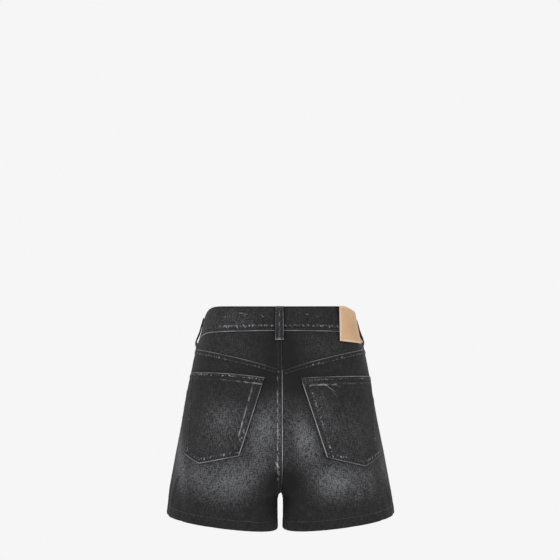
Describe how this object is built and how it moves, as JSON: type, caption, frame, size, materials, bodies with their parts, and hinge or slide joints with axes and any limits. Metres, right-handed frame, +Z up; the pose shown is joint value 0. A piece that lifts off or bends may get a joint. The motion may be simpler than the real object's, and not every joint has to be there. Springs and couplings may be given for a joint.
{
  "type": "denim shorts held open at the waist",
  "caption": "Hollow denim shorts in worn shape, with a waistband, belt loops, V-shaped back yoke, slanted patch pockets, a fly and a leather patch.",
  "frame": {"origin": "the middle of the waist opening, halfway down the waistband, where the shorts are held", "axes": "+Z up, out of the waist; -Y the way the wearer faces, so the back is on +Y; +X to the wearer's left"},
  "size_m": [0.3842, 0.2342, 0.3785],
  "materials": {
    "denim": "matt twill, washed",
    "leather": "natural, uncoated",
    "metal": "dark, antiqued"
  },
  "bodies": {
    "root": {"waistband": "denim", "yoke_left": "denim", "yoke_right": "denim", "back_left": "denim", "back_right": "denim", "front_left": "denim", "front_right": "denim", "pocket_back_left": "denim", "pocket_back_right": "denim", "pocket_facing_left": "denim", "pocket_facing_right": "denim", "fly": "denim", "loop_back": "denim", "loop_side_left": "denim", "loop_side_right": "denim", "loop_front_left": "denim", "loop_front_right": "denim", "patch": "leather", "button": "metal"}
  },
  "joints": []
}
